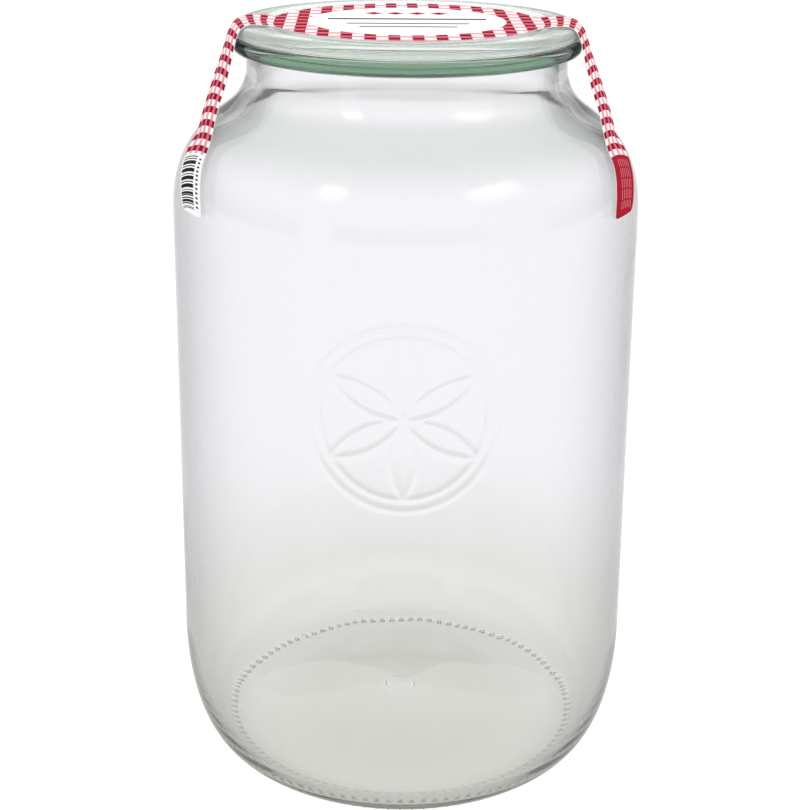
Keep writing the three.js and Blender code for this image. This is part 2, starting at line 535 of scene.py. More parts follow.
@dataclass(frozen=True)
class GlassFinish:
    """Clear moulded glass that shows its green where light runs a long way through it.

    The loss is how fast red, green and blue fade inside, for each metre. The tint is the surface's own.
    A wall that is seen at a slant goes over to the painted shade of its edge. The foot's ribs and the
    shoulder take painted shade too, and the rim a tint of its own, each blended in between heights.
    """

    name: str
    loss: Colour
    tint: Colour = (0.995, 0.992, 1.0)
    edge_painted_shade: Colour = CLEAR
    edge_reach: Point = (0.26, 1.0)
    upright: Point = (0.75, 0.97)
    rib_painted_shade: Colour = CLEAR
    foot_heights: Point = (0.0, 0.45)
    foot_radius: float = 60.0
    rib_share: float = 0.5
    shoulder_painted_shade: Colour = CLEAR
    shoulder_rise: Point = (203.0, 216.0)
    shoulder_fall: Point = (221.0, 226.0)
    rim_tint: Colour = CLEAR
    rim_heights: Point = (236.4, 237.2)
    index: float = 1.52
    ripple_scale: float = 38.0
    ripple_strength: float = 0.12
    ripple_height: float = 0.05
    density_share: float = 1.25

    def material(self) -> Material:
        """The glass as a material: a clear shader, a faint ripple and absorption inside.

        Returns:
            The material.
        """
        made, pen = NodePen.start(self.name)
        ripple = pen.noise(pen.place(), self.ripple_scale)
        pen.coat(
            {
                "Base Color": self._tints_and_painted_shade(pen),
                "Roughness": 0.0,
                "IOR": self.index,
                "Transmission Weight": 1.0,
                "Normal": pen.bump(ripple, self.ripple_strength, self.ripple_height),
            }
        )
        density = self.density_share * max(self.loss)
        inside = pen.node("ShaderNodeVolumeAbsorption")
        inside.inputs["Color"].default_value = (*(1 - part / density for part in self.loss), 1.0)
        inside.inputs["Density"].default_value = density
        pen.link(inside.outputs["Volume"], made.node_tree.nodes["Material Output"].inputs["Volume"])
        return made

    def _tints_and_painted_shade(self, pen: NodePen) -> Socket:
        """The glass's tint and its painted shade, place by place.

        Args:
            pen: The pen to draw with.

        Returns:
            The colour's socket.
        """
        ways = pen.split(pen.place())
        ends = (self.foot_heights, self.shoulder_rise, self.shoulder_fall, self.rim_heights)
        foot, rise, fall, rim = (pen.ramp(ways["Z"], low * MM, high * MM) for low, high in ends)
        radius = pen.vector("LENGTH", pen.vector("MULTIPLY", pen.place(), FLAT))
        on_ring = pen.math("GREATER_THAN", radius, self.foot_radius * MM)
        step = math.tau / RIB_COUNT
        turn = pen.math("ARCTAN2", ways["Y"], ways["X"])
        ribs = pen.stripe(turn, step, self.rib_share, -0.5 * self.rib_share * step)
        # Painted shade: the ribs round the foot are darkened, standing in for the shadow under the base.
        ribs_in_painted_shade = pen.both(pen.both(pen.outside(foot), on_ring), ribs)
        tint = pen.mix(ribs_in_painted_shade, self.tint, self.rib_painted_shade)
        # Painted shade: the shoulder is darkened between its two heights.
        tint = pen.mix(pen.both(rise, pen.outside(fall)), tint, self.shoulder_painted_shade)
        # Painted shade: the wall darkens towards its slanted edges.
        tint = pen.mix(self._painted_edge_shade_share(pen), tint, self.edge_painted_shade)
        return pen.mix(rim, tint, self.rim_tint)

    def _painted_edge_shade_share(self, pen: NodePen) -> Socket:
        """How far the outside of an upright wall is turned to its edge, from 0 to 1.

        Args:
            pen: The pen to draw with.

        Returns:
            The share's socket.
        """
        # This share sets how much painted shade darkens the outer wall where it is seen edge-on.
        normal = pen.node("ShaderNodeTexCoord").outputs["Normal"]
        slant = pen.ramp(pen.node("ShaderNodeLayerWeight").outputs["Facing"], *self.edge_reach)
        lying = pen.ramp(pen.math("ABSOLUTE", pen.split(normal)["Z"]), *self.upright)
        outwards = pen.vector("DOT_PRODUCT", pen.vector("MULTIPLY", pen.place(), FLAT), normal)
        outer = pen.math("GREATER_THAN", outwards, 0.0)
        return pen.both(pen.both(slant, outer), pen.outside(lying))


@dataclass(frozen=True)
class PaperFinish:
    """White label paper, bare on its back and printed with a red check on its face.

    The print is worked out from the mesh attribute that holds each point's place on the flat sheet, in
    millimetres: along runs to the right, and across to the back. Stripes are told by their period, the
    share of it that they fill and where one begins, a row or a stack by its middle and half its width, and
    a rule by its row, half its length and half its width.
    """

    attribute: str = "print_mm"
    white: Colour = (0.94, 0.935, 0.93)
    dark_red: Colour = (0.27, 0.004, 0.022)
    salmon: Colour = (0.70, 0.14, 0.19)
    pale_pink: Colour = (0.82, 0.33, 0.38)
    panel_red: Colour = (0.40, 0.013, 0.028)
    ink: Colour = (0.02, 0.02, 0.025)
    roughness: float = 0.9
    gloss: float = 0.03
    fibre_scale: float = 2200.0
    fibre_strength: float = 0.25
    fibre_height: float = 0.02
    mottle_scale: float = 900.0
    mottle_tone: float = 0.93
    bands: Stripes = (7.05, 0.5, 0.64)
    lines: Stripes = (7.05, 0.44, -0.28)
    field_radius: float = 31.0
    field_rules: tuple[Place, ...] = ((4.0, 25.0, 1.3), (-6.0, 19.0, 0.9), (-13.0, 15.0, 0.9))
    lozenge_step: float = 7.0
    lozenge_half: float = 3.0
    lozenge_row: Point = (17.0, 14.0)
    thin_bars: Stripes = (1.5, 0.46, 0.0)
    wide_bars: Stripes = (4.3, 0.34, 0.9)
    bar_gaps: Stripes = (9.1, 0.09, 2.2)
    bar_stack: Point = (16.5, 15.0)
    bar_row: Point = (-1.2, 8.6)
    ticks: Stripes = (2.4, 0.45, 0.0)
    tick_row: Point = (-13.4, 1.2)
    panel_stack: Point = (16.5, 14.0)
    panel_rules: Stripes = (2.7, 0.3, 0.0)
    panel_row: Point = (-4.0, 8.6)
    panel_breaks: Stripes = (6.1, 0.14, 1.0)
    panel_rule_share: float = 0.6

    def bare(self) -> Material:
        """The unprinted back of the paper.

        Returns:
            The material.
        """
        made, pen = self._sheet("label_paper_back")
        mottle = pen.noise(pen.place(), self.mottle_scale)
        darker = tuple(self.mottle_tone * part for part in self.white)
        pen.coat({"Base Color": pen.mix(mottle, darker, self.white)})
        return made

    def printed(self, panel_start: float) -> Material:
        """The printed face.

        Args:
            panel_start: Distance along the sheet, from its middle, where the end panels begin.

        Returns:
            The material.
        """
        made, pen = self._sheet("label_paper_print")
        source = pen.node("ShaderNodeAttribute")
        source.attribute_name = self.attribute
        ways = pen.split(source.outputs["Vector"])
        along, across = ways["X"], ways["Y"]
        colour = self._field(pen, along, across, self._check(pen, along, across))
        left = pen.math("SUBTRACT", pen.math("MULTIPLY", along, -1.0), panel_start)
        colour = self._bar_panel(pen, left, across, colour)
        right = pen.math("SUBTRACT", along, panel_start)
        pen.coat({"Base Color": self._red_panel(pen, right, across, colour)})
        return made

    def _sheet(self, name: str) -> tuple[Material, NodePen]:
        """Starts a paper material with fine fibres in its surface.

        Args:
            name: The material's name.

        Returns:
            The material, and a pen on its nodes.
        """
        made, pen = NodePen.start(name)
        fibre = pen.noise(pen.place(), self.fibre_scale)
        normal = pen.bump(fibre, self.fibre_strength, self.fibre_height)
        pen.coat({"Roughness": self.roughness, "Specular IOR Level": self.gloss, "Normal": normal})
        return made, pen

    def _check(self, pen: NodePen, along: object, across: object) -> Socket:
        """Red and white bands, crossed by lines that are lighter on the red and darker on the white.

        Args:
            pen: The pen to draw with.
            along: Place along the sheet.
            across: Place across the sheet.

        Returns:
            The print's colour.
        """
        lines = pen.stripe(across, *self.lines)
        on_white = pen.mix(lines, self.white, self.pale_pink)
        on_red = pen.mix(lines, self.dark_red, self.salmon)
        return pen.mix(pen.stripe(along, *self.bands), on_white, on_red)

    def _field(self, pen: NodePen, along: object, across: object, colour: object) -> Socket:
        """A round white field with blank rules to write on and a row of small red lozenges.

        Args:
            pen: The pen to draw with.
            along: Place along the sheet.
            across: Place across the sheet.
            colour: The print under the field.

        Returns:
            The print with the field.
        """
        square = pen.math("ADD", pen.both(along, along), pen.both(across, across))
        inside = pen.math("LESS_THAN", pen.math("SQRT", square), self.field_radius)
        colour = pen.mix(inside, colour, self.white)
        for row, half_length, half_width in self.field_rules:
            rule = pen.both(pen.band(along, 0.0, half_length), pen.band(across, row, half_width))
            colour = pen.mix(rule, colour, self.ink)
        row, half_length = self.lozenge_row
        share = pen.math("FRACT", pen.math("DIVIDE", along, self.lozenge_step))
        sideways = pen.math("MULTIPLY", pen.math("SUBTRACT", share, 0.5), self.lozenge_step)
        upwards = pen.math("SUBTRACT", across, row)
        slant = pen.math("ADD", pen.math("ABSOLUTE", sideways), pen.math("ABSOLUTE", upwards))
        lozenges = pen.math("LESS_THAN", slant, self.lozenge_half)
        return pen.mix(pen.both(lozenges, pen.band(along, 0.0, half_length)), colour, self.panel_red)

    def _bar_panel(self, pen: NodePen, deep: object, across: object, colour: object) -> Socket:
        """A white end panel with made-up dark bars across it and a row of ticks beside them.

        Args:
            pen: The pen to draw with.
            deep: Distance into the panel.
            across: Place across the sheet.
            colour: The print under the panel.

        Returns:
            The print with the panel.
        """
        colour = pen.mix(pen.math("GREATER_THAN", deep, 0.0), colour, self.white)
        bars = pen.math("MAXIMUM", pen.stripe(deep, *self.thin_bars), pen.stripe(deep, *self.wide_bars))
        bars = pen.both(bars, pen.outside(pen.stripe(deep, *self.bar_gaps)))
        stack = pen.both(pen.band(deep, *self.bar_stack), pen.band(across, *self.bar_row))
        colour = pen.mix(pen.both(bars, stack), colour, self.ink)
        ticks = pen.both(pen.stripe(deep, *self.ticks), pen.band(deep, *self.panel_stack))
        return pen.mix(pen.both(ticks, pen.band(across, *self.tick_row)), colour, self.ink)

    def _red_panel(self, pen: NodePen, deep: object, across: object, colour: object) -> Socket:
        """A red end panel with thin pale rules along it.

        Args:
            pen: The pen to draw with.
            deep: Distance into the panel.
            across: Place across the sheet.
            colour: The print under the panel.

        Returns:
            The print with the panel.
        """
        colour = pen.mix(pen.math("GREATER_THAN", deep, 0.0), colour, self.panel_red)
        rules = pen.both(pen.stripe(across, *self.panel_rules), pen.band(across, *self.panel_row))
        rules = pen.both(rules, pen.outside(pen.stripe(deep, *self.panel_breaks)))
        rules = pen.both(rules, pen.band(deep, *self.panel_stack))
        return pen.mix(pen.math("MULTIPLY", rules, self.panel_rule_share), colour, self.pale_pink)


@dataclass(frozen=True)
class Medallion:
    """A raised ornament on the front: two rings round a rosette."""

    height: float = 141.0
    radius: float = 25.0
    ring_gap: float = 3.6
    line: float = 0.85
    relief: float = 0.6
    petals: int = 6

    @property
    def reach(self) -> float:
        """Half the ornament's width, with its outer line."""
        return self.radius + self.ring_gap + 3 * self.line

    def weights(self, sideways: np.ndarray, upwards: np.ndarray) -> np.ndarray:
        """How far each place is raised, from 0 to 1.

        Args:
            sideways: Distance from the ornament's middle along the wall.
            upwards: Height above the ornament's middle.

        Returns:
            The weights.
        """
        distance = np.hypot(sideways, upwards)
        beyond = np.maximum(distance - self.radius, 0)
        lines = [np.abs(distance - self.radius), np.abs(distance - self.radius - self.ring_gap)]
        for index in range(self.petals):
            turn = math.tau * (index + 0.5) / self.petals
            from_side = sideways - self.radius * math.cos(turn)
            from_below = upwards - self.radius * math.sin(turn)
            lines.append(np.abs(np.hypot(from_side, from_below) - self.radius) + beyond)
        return np.exp(-((np.min(lines, axis=0) / self.line) ** 2))


@dataclass
class JarBody:
    """The hollow glass jar: base, heel, wall, shoulder, neck and rim, as one shell of revolution.

    A soft value is the spacing of a softened run's points and how far its bends are spread. A swell is one
    wave round the inner wall: its share of the height, its count, its lean and its start.
    """

    finish: GlassFinish
    height: float = 241.6
    body_top: float = 74.9
    body_foot: float = 75.7
    heel_reach: float = 14.6
    heel_height: float = 39.5
    bearing_inner: float = 55.5
    push_up: float = 3.0
    push_up_power: float = 1.5
    shoulder_start: float = 190.5
    shoulder_round: float = 33.0
    shoulder_spread: float = 14.4
    shoulder_soft: Point = (1.8, 4.0)
    neck: float = 50.6
    neck_fillet: float = 12.6
    groove_round: float = 0.8
    rim: float = 55.0
    rim_thickness: float = 4.4
    rim_round: float = 1.7
    neck_wall: float = 4.0
    foot_wall: float = 3.5
    floor_edge: float = 4.4
    floor_middle: float = 6.4
    inner_heel: Point = (12.6, 36.5)
    inner_soft: Point = (2.2, 6.0)
    floor_soft: Point = (1.5, 2.0)
    wave: float = 0.3
    wave_rise: Point = (25.0, 60.0)
    wave_fall: Point = (165.0, 195.0)
    swells: tuple[tuple[float, int, float, float], ...] = (
        (0.45, 3, 0.018, 0.6),
        (0.35, 7, -0.027, 2.1),
        (0.12, 16, 0.05, 4.0),
        (0.08, 23, -0.21, 1.0),
    )
    outer_margin: float = 0.3
    inner_margin: float = 2.1
    rib_place: Point = (62.8, 0.55)
    rib_size: Place = (3.2, 1.4, 1.05)
    rib_tilt: float = 17.6
    rib_cuts: tuple[int, int] = (10, 6)
    mark_place: Place = (0.0, 11.0, 2.9)
    mark_radius: float = 4.6
    mark_line: float = 0.55
    mark_cuts: tuple[int, int] = (48, 10)
    ornament: Medallion = Medallion()
    front_half_turn: float = 24.0
    front_steps: int = 104
    rest_steps: int = 120
    base_steps: int = 12
    ring_steps: int = 3
    bend_steps: int = 22
    wall_steps: tuple[int, int, int] = (6, 104, 2)
    fillet_steps: int = 14
    groove_steps: int = 5
    rim_steps: int = 8
    inner_wall_steps: int = 26
    inner_wall_join: int = 8
    floor_steps: int = 10
    floor_join: int = 4

    @property
    def shoulder_centre(self) -> float:
        """Radius of the centre line that the shoulder's rounding turns about."""
        return self.body_top - self.shoulder_round

    @property
    def shoulder_turn(self) -> float:
        """Angle, in degrees, where the shoulder's rounding meets the neck's fillet."""
        across = self.neck + self.neck_fillet - self.shoulder_centre
        return math.degrees(math.acos(across / (self.shoulder_round + self.neck_fillet)))

    @property
    def neck_start(self) -> float:
        """Height where the straight neck begins."""
        both = self.shoulder_round + self.neck_fillet
        return self.shoulder_start + both * math.sin(math.radians(self.shoulder_turn))

    def radius_at(self, height: float) -> float:
        """The outer radius on the wall and on the convex part of the shoulder.

        Args:
            height: Height above the ground.

        Returns:
            The radius.
        """
        if height <= self.shoulder_start:
            share = (height - self.heel_height) / (self.shoulder_start - self.heel_height)
            return self.body_foot + (self.body_top - self.body_foot) * share
        rise = min(height - self.shoulder_start, self.shoulder_round)
        return self.shoulder_centre + math.sqrt(self.shoulder_round**2 - rise**2)

    def underside(self) -> list[Point]:
        """The pushed-up base from the axis to the outer edge of the ring that the jar stands on.

        Returns:
            The points, as radius and height.
        """
        shares = np.linspace(0, 1, self.base_steps + 1)
        rises = self.push_up * (1 - shares * shares) ** self.push_up_power
        base = list(zip(self.bearing_inner * shares, rises))
        return base + line(base[-1], (self.body_foot - self.heel_reach, 0.0), self.ring_steps)

    def shoulder(self, depth: float) -> list[Point]:
        """The shoulder's rounding and the neck's fillet, upwards.

        Args:
            depth: How far the run lies under the outer face.

        Returns:
            The points, as radius and height.
        """
        middle = (self.shoulder_centre, self.shoulder_start)
        rounding = bend(middle, self.shoulder_round - depth, 0, self.shoulder_turn, self.bend_steps)
        middle = (self.neck + self.neck_fillet, self.neck_start)
        start = 180 + self.shoulder_turn
        return rounding + bend(middle, self.neck_fillet + depth, start, 180, self.fillet_steps)[1:]

    def outside(self) -> list[Point]:
        """Heel, wall, shoulder, neck and rim, up to the top of the rim.

        Returns:
            The points, as radius and height.
        """
        heel_centre = (self.body_foot - self.heel_reach, self.heel_height)
        heel = arc(heel_centre, (self.heel_reach, self.heel_height), -90, 0, self.bend_steps)
        low = self.ornament.height - self.ornament.reach
        high = self.ornament.height + self.ornament.reach
        marks = (self.heel_height, low, high, self.shoulder_start - self.shoulder_spread)
        wall = []
        for start, end, steps in zip(marks, marks[1:], self.wall_steps):
            wall += line((self.radius_at(start), start), (self.radius_at(end), end), steps)
        shoulder = soften([wall[-1], *self.shoulder(0.0)], *self.shoulder_soft)
        foot = self.height - self.rim_thickness
        edge = self.rim - self.rim_round
        groove = (self.neck + self.groove_round, foot - self.groove_round)
        rim = bend(groove, self.groove_round, 180, 90, self.groove_steps)
        rim += bend((edge, foot + self.rim_round), self.rim_round, -90, 0, self.rim_steps)
        rim += bend((edge, self.height - self.rim_round), self.rim_round, 0, 90, self.rim_steps)
        return heel[1:] + wall + shoulder[1:] + rim

    def inside(self) -> list[Point]:
        """From the top of the rim down the neck and the wall to the middle of the floor.

        Returns:
            The points, as radius and height.
        """
        lip_centre = (self.neck - self.neck_wall + self.rim_round, self.height - self.rim_round)
        lip = bend(lip_centre, self.rim_round, 90, 180, self.rim_steps)
        shoulder = self.shoulder(self.neck_wall)[::-1]
        reach, rise = self.inner_heel
        heel_centre = (self.body_foot - self.foot_wall - reach, self.floor_edge + rise)
        heel = arc(heel_centre, self.inner_heel, 0, -90, self.bend_steps)
        wall = line(shoulder[-1], heel[0], self.inner_wall_steps)
        high, low = wall[: -self.inner_wall_join], wall[-self.inner_wall_join - 1 :]
        floor = line(heel[-1], (0.0, self.floor_middle), self.floor_steps)
        upper = soften([lip[-1], *shoulder, *high], *self.inner_soft)
        lower = soften([*low, *heel[1:], *floor[: self.floor_join]], *self.floor_soft)
        return lip + upper[1:] + lower[1:] + floor[self.floor_join :]

    def build(self) -> Piece:
        """Models and dresses the jar.

        Returns:
            The finished jar.
        """
        profile = self.underside() + self.outside() + self.inside()
        rest = 360 - 2 * self.front_half_turn
        sectors = [(2 * self.front_half_turn, self.front_steps), (rest, self.rest_steps)]
        jar = Bench.turn_profile("jar_glass", profile, sectors, -self.front_half_turn)
        self.emboss(jar)
        self.ripple(jar)
        Bench.fuse(jar, self.ribs())
        Bench.fuse(jar, self.base_mark())
        Bench.smooth(jar)
        # The union leaves an empty slot behind.
        jar.data.materials.clear()
        jar.data.materials.append(self.finish.material())
        return jar

    def emboss(self, jar: Piece) -> None:
        """Raises the ornament on the outer wall.

        Args:
            jar: The jar's shell.
        """
        radius, turn, height = Bench.polar(jar)
        sideways = radius * turn
        upwards = height - self.ornament.height
        on_wall = radius > self.body_top - self.outer_margin
        near = np.hypot(sideways, upwards) < self.ornament.reach
        weights = self.ornament.weights(sideways, upwards) * (on_wall & near)
        Bench.raise_by(jar, "ornament", weights, self.ornament.relief)

    def ripple(self, jar: Piece) -> None:
        """Gives the inner wall the slow unevenness of blown glass.

        Args:
            jar: The jar's shell.
        """
        radius, turn, height = Bench.polar(jar)
        inner = (radius < self.body_top - self.inner_margin) & (radius > self.neck)
        fade = smoothstep(height, *self.wave_rise) * (1 - smoothstep(height, *self.wave_fall))
        swell = np.zeros(len(height))
        for share, count, lean, start in self.swells:
            swell += share * np.sin(count * turn + lean * height + start)
        Bench.raise_by(jar, "ripple", (0.5 + 0.5 * swell) * fade * inner, self.wave)

    def base_mark(self) -> Piece:
        """A small plain ring, raised under the base.

        Returns:
            The ring as a closed mesh.
        """
        Bench.clear()
        bpy.ops.mesh.primitive_torus_add(
            location=Vector(self.mark_place) * MM,
            major_segments=self.mark_cuts[0],
            minor_segments=self.mark_cuts[1],
            major_radius=self.mark_radius * MM,
            minor_radius=self.mark_line * MM,
        )
        return bpy.context.object

    def ribs(self) -> Piece:
        """The ring of short ribs round the foot of the heel: one rib, copied round the axis.

        Returns:
            All the ribs as one mesh.
        """
        Bench.clear()
        segments, rings = self.rib_cuts
        bpy.ops.mesh.primitive_uv_sphere_add(segments=segments, ring_count=rings, radius=0.5 * MM)
        rib = bpy.context.object
        Bench.edit()
        bpy.ops.transform.resize(value=self.rib_size)
        tilt = math.radians(self.rib_tilt)
        bpy.ops.transform.rotate(value=tilt, orient_axis="Y", center_override=(0, 0, 0))
        radius, height = self.rib_place
        bpy.ops.transform.translate(value=(radius * MM, 0, height * MM))
        bpy.ops.object.mode_set(mode="OBJECT")
        ribs = []
        for index in range(RIB_COUNT):
            copy = rib.copy()
            copy.data = rib.data.copy()
            bpy.context.scene.collection.objects.link(copy)
            copy.data.transform(Matrix.Rotation(math.tau * index / RIB_COUNT, 4, "Z"))
            ribs.append(copy)
        bpy.data.objects.remove(rib, do_unlink=True)
        return Bench.join(ribs)


@dataclass
class Lid:
    """The loose glass lid: a thick disc with a recess on top and a centring ridge below."""

    finish: GlassFinish
    seat: float
    radius: float = 54.5
    thickness: float = 4.4
    top_round: float = 3.0
    foot_round: float = 1.3
    recess: Point = (44.6, 0.9)
    ridge: float = 45.2
    ridge_width: float = 2.8
    ridge_depth: float = 3.0
    plug_depth: float = 0.8
    soft: float = 0.5
    steps: int = 192
    under_steps: int = 5
    floor_steps: int = 8

    @property
    def top(self) -> float:
        """Height of the lid's raised edge."""
        return self.seat + self.thickness

    @property
    def recess_floor(self) -> float:
        """Height of the recess that the label lies in."""
        return self.top - self.recess[1]

    def profile(self) -> list[Point]:
        """Half of the lid's section, from the underside's middle round to the top's.

        Returns:
            The points, as radius and height.
        """
        under = self.seat - self.plug_depth
        inner = self.ridge - self.ridge_width - self.soft
        tip = 0.5 * self.ridge_width
        edge, depth = self.recess
        step = 0.5 * depth
        # Centre, radius, first and last angle, and steps of each corner.
        corners = (
            ((inner - self.soft, under - self.soft), self.soft, 90, 0, 4),
            ((inner + tip, self.seat - self.ridge_depth + tip), tip, 180, 360, 12),
            ((self.ridge + self.soft, self.seat - self.soft), self.soft, 180, 90, 4),
            ((self.radius - self.foot_round, self.seat + self.foot_round), self.foot_round, -90, 0, 8),
            ((self.radius - self.top_round, self.top - self.top_round), self.top_round, 0, 90, 14),
            ((edge + depth, self.top - step), step, 90, 180, 5),
            ((edge, self.recess_floor + step), step, 0, -90, 5),
        )
        points = [(0.0, under), *line((0.0, under), (inner - self.soft, under), self.under_steps)]
        for corner in corners:
            points += bend(*corner)
        return points + line(points[-1], (0.0, self.recess_floor), self.floor_steps)

    def build(self) -> Piece:
        """Models and dresses the lid.

        Returns:
            The finished lid.
        """
        lid = Bench.turn_profile("lid_glass", self.profile(), [(360, self.steps)], 0)
        Bench.smooth(lid)
        lid.data.materials.append(self.finish.material())
        return lid


@dataclass
class Label:
    """The paper label: a disc in the lid's recess, and an arm over the lid's edge on each side.

    The arm's middle line runs through stations: degrees from the front, radius, height and width. On the
    jar, the radius is the jar's own.
    """

    finish: PaperFinish
    jar: JarBody
    lid: Lid
    gap: float = 0.3
    paper: float = 0.22
    radius: float = 42.2
    turned: float = 1.4
    rim_step: int = 2
    ring_shares: tuple[float, ...] = (0.9, 0.85, 0.8, 0.75, 0.7, 0.6, 0.5)
    root_turn: int = 84
    root_half: int = 18
    root_width: float = 26.5
    on_lid: tuple[Place, ...] = ((83.0, 47.0, 24.5), (81.3, 52.0, 21.0))
    at_edge: Place = (79.1, 55.2, 19.3)
    in_air: tuple[Station, ...] = (
        (76.3, 57.8, 237.0, 18.5),
        (73.8, 60.6, 230.0, 18.5),
        (71.8, 64.3, 221.0, 18.5),
    )
    on_jar: tuple[Place, ...] = (
        (70.7, 212.0, 18.5),
        (67.4, 206.0, 18.0),
        (63.6, 199.5, 16.2),
        (60.5, 193.0, 14.0),
    )
    corner: float = 1.4
    tilt: float = 0.1
    tilt_fade: float = 10.0
    rows: int = 110
    samples: int = 1200
    arm_print_scale: float = 1.7
    arm_print_slant: float = 0.2
    panel_length: float = 20.5

    def stations(self) -> list[Station]:
        """The arm's route from the disc's edge, over the lid's rim and past the neck to the shoulder.

        Returns:
            The stations, in order.
        """
        over = self.lid.top + self.gap
        route = [(self.root_turn, self.radius, self.lid.recess_floor + self.gap, self.root_width)]
        route += [(turn, radius, over, width) for turn, radius, width in self.on_lid]
        turn, radius, width = self.at_edge
        route += [(turn, radius, self.lid.top - 0.5 * self.lid.thickness, width), *self.in_air]
        for turn, height, width in self.on_jar:
            route.append((turn, self.jar.radius_at(height) + self.gap, height, width))
        return route

    def build(self) -> Piece:
        """Models and dresses the label.

        Returns:
            The finished label.
        """
        arms = [self.arm(side) for side in Side]
        label = Bench.join([self.disc(), *arms])
        Bench.activate(label)
        Bench.edit()
        Bench.close()
        if label.data.polygons[0].normal.z < 0:
            label.data.flip_normals()
        label.data.transform(Matrix.Rotation(math.radians(self.turned), 4, "Z"))
        label.data.materials.append(self.finish.printed(self.panel_start()))
        label.data.materials.append(self.finish.bare())
        Bench.activate(label)
        sheet = label.modifiers.new("paper", "SOLIDIFY")
        sheet.thickness = self.paper * MM
        sheet.offset = 1.0
        sheet.material_offset = Sheet.BARE.value
        sheet.material_offset_rim = Sheet.BARE.value
        bpy.ops.object.modifier_apply(modifier="paper")
        Bench.smooth(label)
        return label

    def route(self) -> np.ndarray:
        """Even samples of the arm's route.

        Returns:
            A row for each sample: turn, radius, height, width and length from the disc.
        """
        knots = np.array(self.stations())
        spans = len(knots) - 1
        knots = np.vstack([2 * knots[0] - knots[1], knots, 2 * knots[-1] - knots[-2]])
        samples = []
        for share in np.linspace(0, spans, self.samples):
            index = min(int(share), spans - 1)
            samples.append(self._between(knots[index : index + 4], share - index))
        samples = np.array(samples)
        sides = np.radians(samples[:, 0])
        places = np.c_[samples[:, 1] * np.sin(sides), samples[:, 1] * np.cos(sides), samples[:, 2]]
        length = np.r_[0, np.cumsum(np.linalg.norm(np.diff(places, axis=0), axis=1))]
        even = np.linspace(0, length[-1], self.rows + 1)
        columns = [np.interp(even, length, column) for column in samples.T]
        return np.c_[np.array(columns).T, even]

    @staticmethod
    def _between(knots: np.ndarray, share: float) -> np.ndarray:
        """A point of a Catmull-Rom curve.

        Args:
            knots: Four knots, a row each.
            share: How far the point is between the middle two, from 0 to 1.

        Returns:
            The point.
        """
        before, start, end, after = knots
        pull = 2 * before - 5 * start + 4 * end - after
        bend_back = 3 * (start - end) + after - before
        return 0.5 * (2 * start + (end - before) * share + pull * share**2 + bend_back * share**3)

    def panel_start(self) -> float:
        """Where the end panels begin, on the flat sheet."""
        return self.radius + self.arm_print_scale * (self.route()[-1, -1] - self.panel_length)

    def disc(self) -> Piece:
        """The round middle of the label, as rings of faces.

        Returns:
            The disc as an open sheet.
        """
        Bench.clear()
        height = (self.lid.recess_floor + self.gap) * MM
        count = 360 // self.rim_step
        bpy.ops.mesh.primitive_circle_add(vertices=count, radius=self.radius * MM, location=(0, 0, height))
        disc = Bench.take("label_sheet")
        bpy.ops.object.transform_apply(location=True, rotation=False, scale=False)
        Bench.edit()
        for share in self.ring_shares:
            bpy.ops.mesh.extrude_region_move()
            bpy.ops.transform.resize(value=(share, share, 1), center_override=(0, 0, height))
        bpy.ops.mesh.extrude_region_move()
        bpy.ops.mesh.merge(type="CENTER")
        bpy.ops.object.mode_set(mode="OBJECT")
        self._note_print(disc, Bench.places(disc)[:, :2])
        return disc

    def arm(self, side: Side) -> Piece:
        """One arm: a flat grid of paper carried along the route.

        Args:
            side: The side of the jar that it hangs on.

        Returns:
            The arm as an open sheet that starts on the disc's edge.
        """
        Bench.clear()
        columns = 2 * self.root_half // self.rim_step
        bpy.ops.mesh.primitive_grid_add(x_subdivisions=columns, y_subdivisions=self.rows, size=1)
        arm = bpy.context.object
        grid = Bench.places(arm) * MM
        across = grid[:, 0]
        row = np.rint((grid[:, 1] + 0.5) * self.rows).astype(int)
        turn, radius, height, width, length = self.route()[row].T
        tip = height.min()
        from_tip = np.minimum(np.maximum(height - tip, 0), self.corner)
        inset = self.corner - np.sqrt(self.corner**2 - (self.corner - from_tip) ** 2)
        offset = across * (width - 2 * inset)
        rise = smoothstep(height, tip, tip + self.tilt_fade)
        rise *= 1 - smoothstep(height, self.jar.neck_start - self.tilt_fade, self.jar.neck_start)
        height = height + offset * self.tilt * rise
        low = height < self.jar.neck_start
        clear = np.array([self.jar.radius_at(value) for value in height]) + self.gap
        radius_clear = np.where(low, np.maximum(radius, clear), radius)
        angle = np.radians(turn) - offset / radius
        placed = np.c_[side.value * radius_clear * np.sin(angle), -radius_clear * np.cos(angle), height]
        arm.data.vertices.foreach_set("co", (placed * MM).astype(np.float32).ravel())
        root = np.radians(self.root_turn) - across * math.radians(2 * self.root_half)
        slant = self.arm_print_slant * offset * smoothstep(length, 0, self.radius / 2)
        along = side.value * (self.radius * np.sin(root) + self.arm_print_scale * (length + slant))
        self._note_print(arm, np.c_[along, -self.radius * np.cos(root)])
        return arm

    def _note_print(self, piece: Piece, sheet: np.ndarray) -> None:
        """Stores each vertex's place on the flat sheet as a mesh attribute."""
        noted = piece.data.attributes.new(self.finish.attribute, "FLOAT_VECTOR", "POINT")
        noted.data.foreach_set("vector", np.c_[sheet, np.zeros(len(sheet))].astype(np.float32).ravel())


